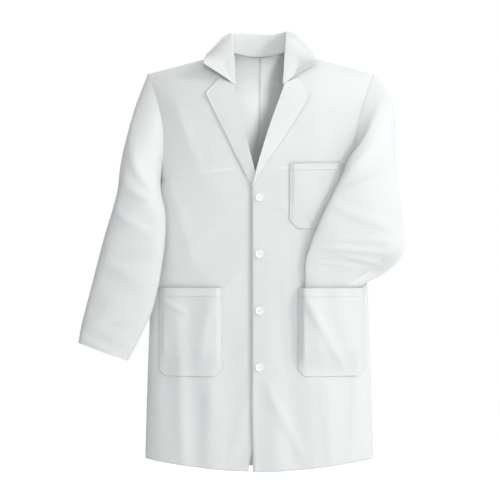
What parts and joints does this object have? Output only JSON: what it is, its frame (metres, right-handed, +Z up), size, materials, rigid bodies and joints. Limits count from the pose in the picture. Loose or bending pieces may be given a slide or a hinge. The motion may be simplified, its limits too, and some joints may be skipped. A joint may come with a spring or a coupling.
{
  "type": "lab coat",
  "caption": "Long-sleeved knee-length white lab coat with notched collar, lapped buttoned front, chest and hip patch pockets; one sleeve hangs, the other is bent with its cuff in a pocket.",
  "frame": {"origin": "centre of the neck opening, level with the collar seam, where a hanger's stem or a form's neck rises", "axes": "+Z up, the front faces -Y, +X is the wearer's left"},
  "size_m": [0.7983, 0.2059, 1.0758],
  "materials": {
    "body_cloth": "matt plain-woven white cotton blend",
    "sleeve_cloth": "matt plain-woven white cotton blend",
    "collar_cloth": "matt plain-woven white cotton blend, pressed",
    "pocket_cloth": "matt plain-woven white cotton blend",
    "facing_cloth": "matt plain-woven white cotton blend",
    "interlining": "thin fused non-woven",
    "stitching": "close zigzag stitching",
    "thread": "spun sewing thread",
    "button": "semi-gloss cast polyester"
  },
  "bodies": {
    "coat": {"back_left": "body_cloth", "back_right": "body_cloth", "upper_collar": "collar_cloth", "under_collar": "collar_cloth", "front_left_upper": "body_cloth", "interlining_left_upper": "interlining", "facing_left_upper": "facing_cloth", "lapel_left": "collar_cloth", "front_right_upper": "body_cloth", "interlining_right_upper": "interlining", "facing_right_upper": "facing_cloth", "lapel_right": "collar_cloth", "chest_pocket": "pocket_cloth", "top_sleeve_left_upper": "sleeve_cloth", "under_sleeve_left_upper": "sleeve_cloth", "button_1": "button", "button_thread_1": "thread", "buttonhole_1": "stitching"},
    "left_front": {"front_left_lower": "body_cloth", "interlining_left_lower": "interlining", "facing_left_lower": "facing_cloth", "hip_pocket_left": "pocket_cloth", "top_sleeve_left_lower": "sleeve_cloth", "under_sleeve_left_lower": "sleeve_cloth", "buttonhole_2": "stitching", "buttonhole_3": "stitching", "buttonhole_4": "stitching"},
    "right_front": {"front_right_lower": "body_cloth", "interlining_right_lower": "interlining", "facing_right_lower": "facing_cloth", "hip_pocket_right": "pocket_cloth", "button_2": "button", "button_3": "button", "button_4": "button", "button_thread_2": "thread", "button_thread_3": "thread", "button_thread_4": "thread"},
    "right_upper_sleeve": {"top_sleeve_right_upper": "sleeve_cloth", "under_sleeve_right_upper": "sleeve_cloth"},
    "right_lower_sleeve": {"top_sleeve_right_lower": "sleeve_cloth", "under_sleeve_right_lower": "sleeve_cloth"}
  },
  "joints": [
    {"name": "left_front_open", "type": "hinge", "parent": "coat", "child": "left_front", "pos_m": [0.286, 0, -0.445], "axis": [0, 0, 1], "range_deg": [0, 50], "deforming": ["buttonhole_2", "buttonhole_3", "buttonhole_4"]},
    {"name": "right_front_open", "type": "hinge", "parent": "coat", "child": "right_front", "pos_m": [-0.286, 0, -0.445], "axis": [0, 0, -1], "range_deg": [0, 12]},
    {"name": "right_shoulder_swing", "type": "hinge", "parent": "coat", "child": "right_upper_sleeve", "pos_m": [-0.262, 0, -0.115], "axis": [0, 1, 0], "range_deg": [0, 45], "deforming": ["top_sleeve_right_upper", "under_sleeve_right_upper"]},
    {"name": "right_elbow_bend", "type": "hinge", "parent": "right_upper_sleeve", "child": "right_lower_sleeve", "pos_m": [-0.308, -0.072, -0.478], "axis": [-0.9746, 0, 0.2239], "range_deg": [0, 80], "deforming": ["top_sleeve_right_upper", "under_sleeve_right_upper"]}
  ],
  "couplings": [
    {"joint": "right_front_open", "follows": "left_front_open", "ratio": 0.24}
  ]
}
